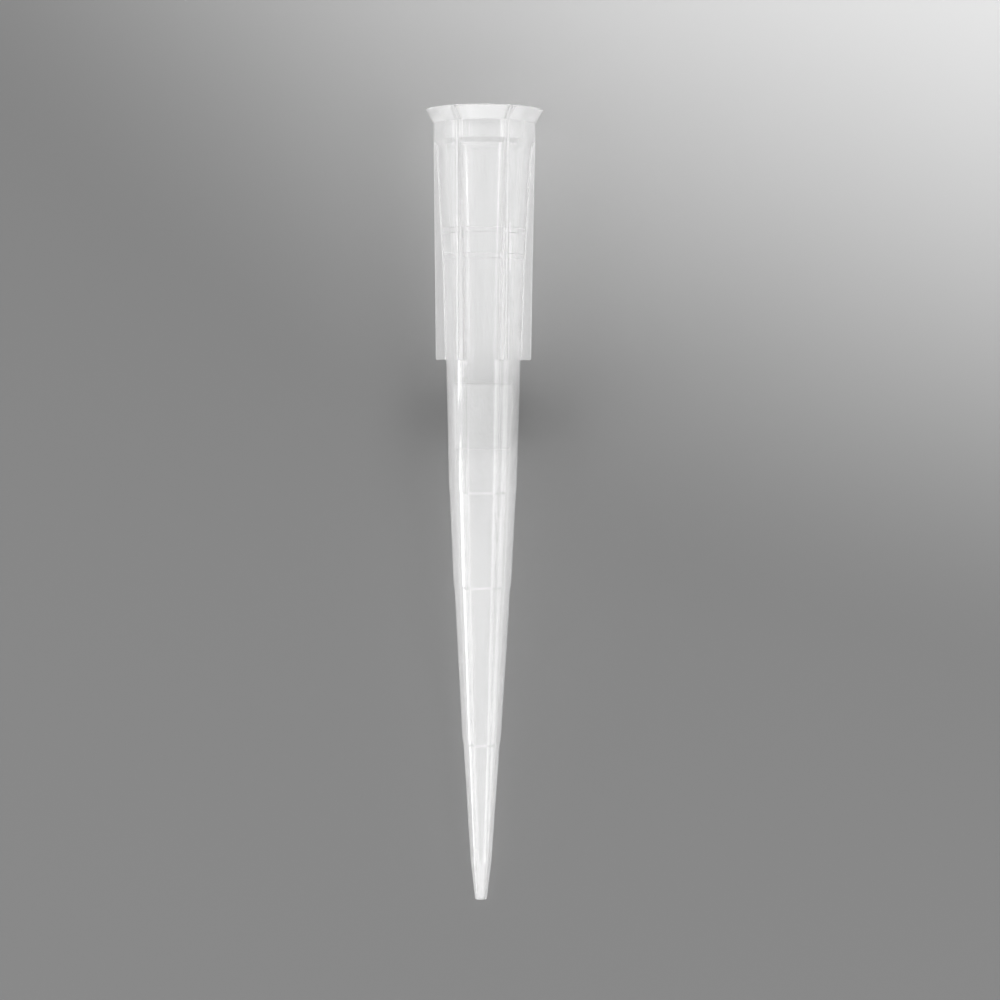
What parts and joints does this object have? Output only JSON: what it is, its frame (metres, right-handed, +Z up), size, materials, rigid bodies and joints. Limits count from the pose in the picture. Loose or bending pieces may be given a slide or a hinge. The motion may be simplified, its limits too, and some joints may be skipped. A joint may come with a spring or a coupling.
{
  "type": "pipette tip",
  "caption": "Filtered pipette tip: a thin translucent tapered tube with a flared mouth, ribbed socket, sealing rings and volume marks, holding a porous plug.",
  "frame": {"origin": "on the surface it lies on, at the middle of the length and width it covers there", "axes": "+Z up; +Y along the floor towards the mouth, the tip's own axis rising 3.5 degrees from it; +X across the tip"},
  "size_m": [0.0074, 0.0502, 0.0073],
  "materials": {
    "tip_plastic": "natural polypropylene, translucent and glossy",
    "filter": "sintered porous polyethylene, matt white"
  },
  "bodies": {
    "root": {"tip_body": "tip_plastic", "filter_plug": "filter"}
  },
  "joints": []
}
